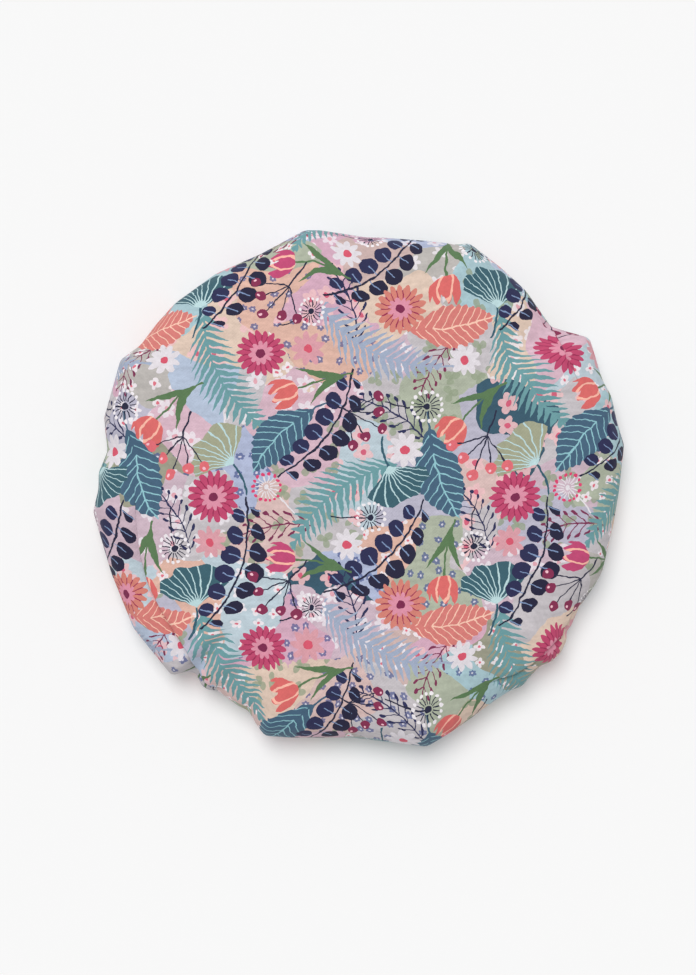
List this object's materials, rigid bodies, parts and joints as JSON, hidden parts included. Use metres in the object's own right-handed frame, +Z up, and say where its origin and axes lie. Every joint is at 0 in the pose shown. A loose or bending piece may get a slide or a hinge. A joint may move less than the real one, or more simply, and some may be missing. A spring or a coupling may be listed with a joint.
{
  "type": "shower cap",
  "caption": "Lined shower cap lying crown up: printed cloth shell over a waterproof film lining, both gathered into a soft elastic hem.",
  "frame": {"origin": "on the surface that the cap lies on, below the middle of its outline", "axes": "+Z up through the crown, +X along the widest line of the lying cap, +Y across it, towards the top of the picture"},
  "size_m": [0.29, 0.283, 0.042],
  "materials": {
    "shell_cloth": "matte printed plain-weave polyester",
    "lining_film": "milky waterproof film with a soft sheen",
    "binding_tape": "matte woven tape",
    "elastic": "matte knitted elastic"
  },
  "bodies": {
    "root": {"outer_shell": "shell_cloth", "inner_lining": "lining_film", "hem_binding": "binding_tape", "elastic_band": "elastic"}
  },
  "joints": []
}
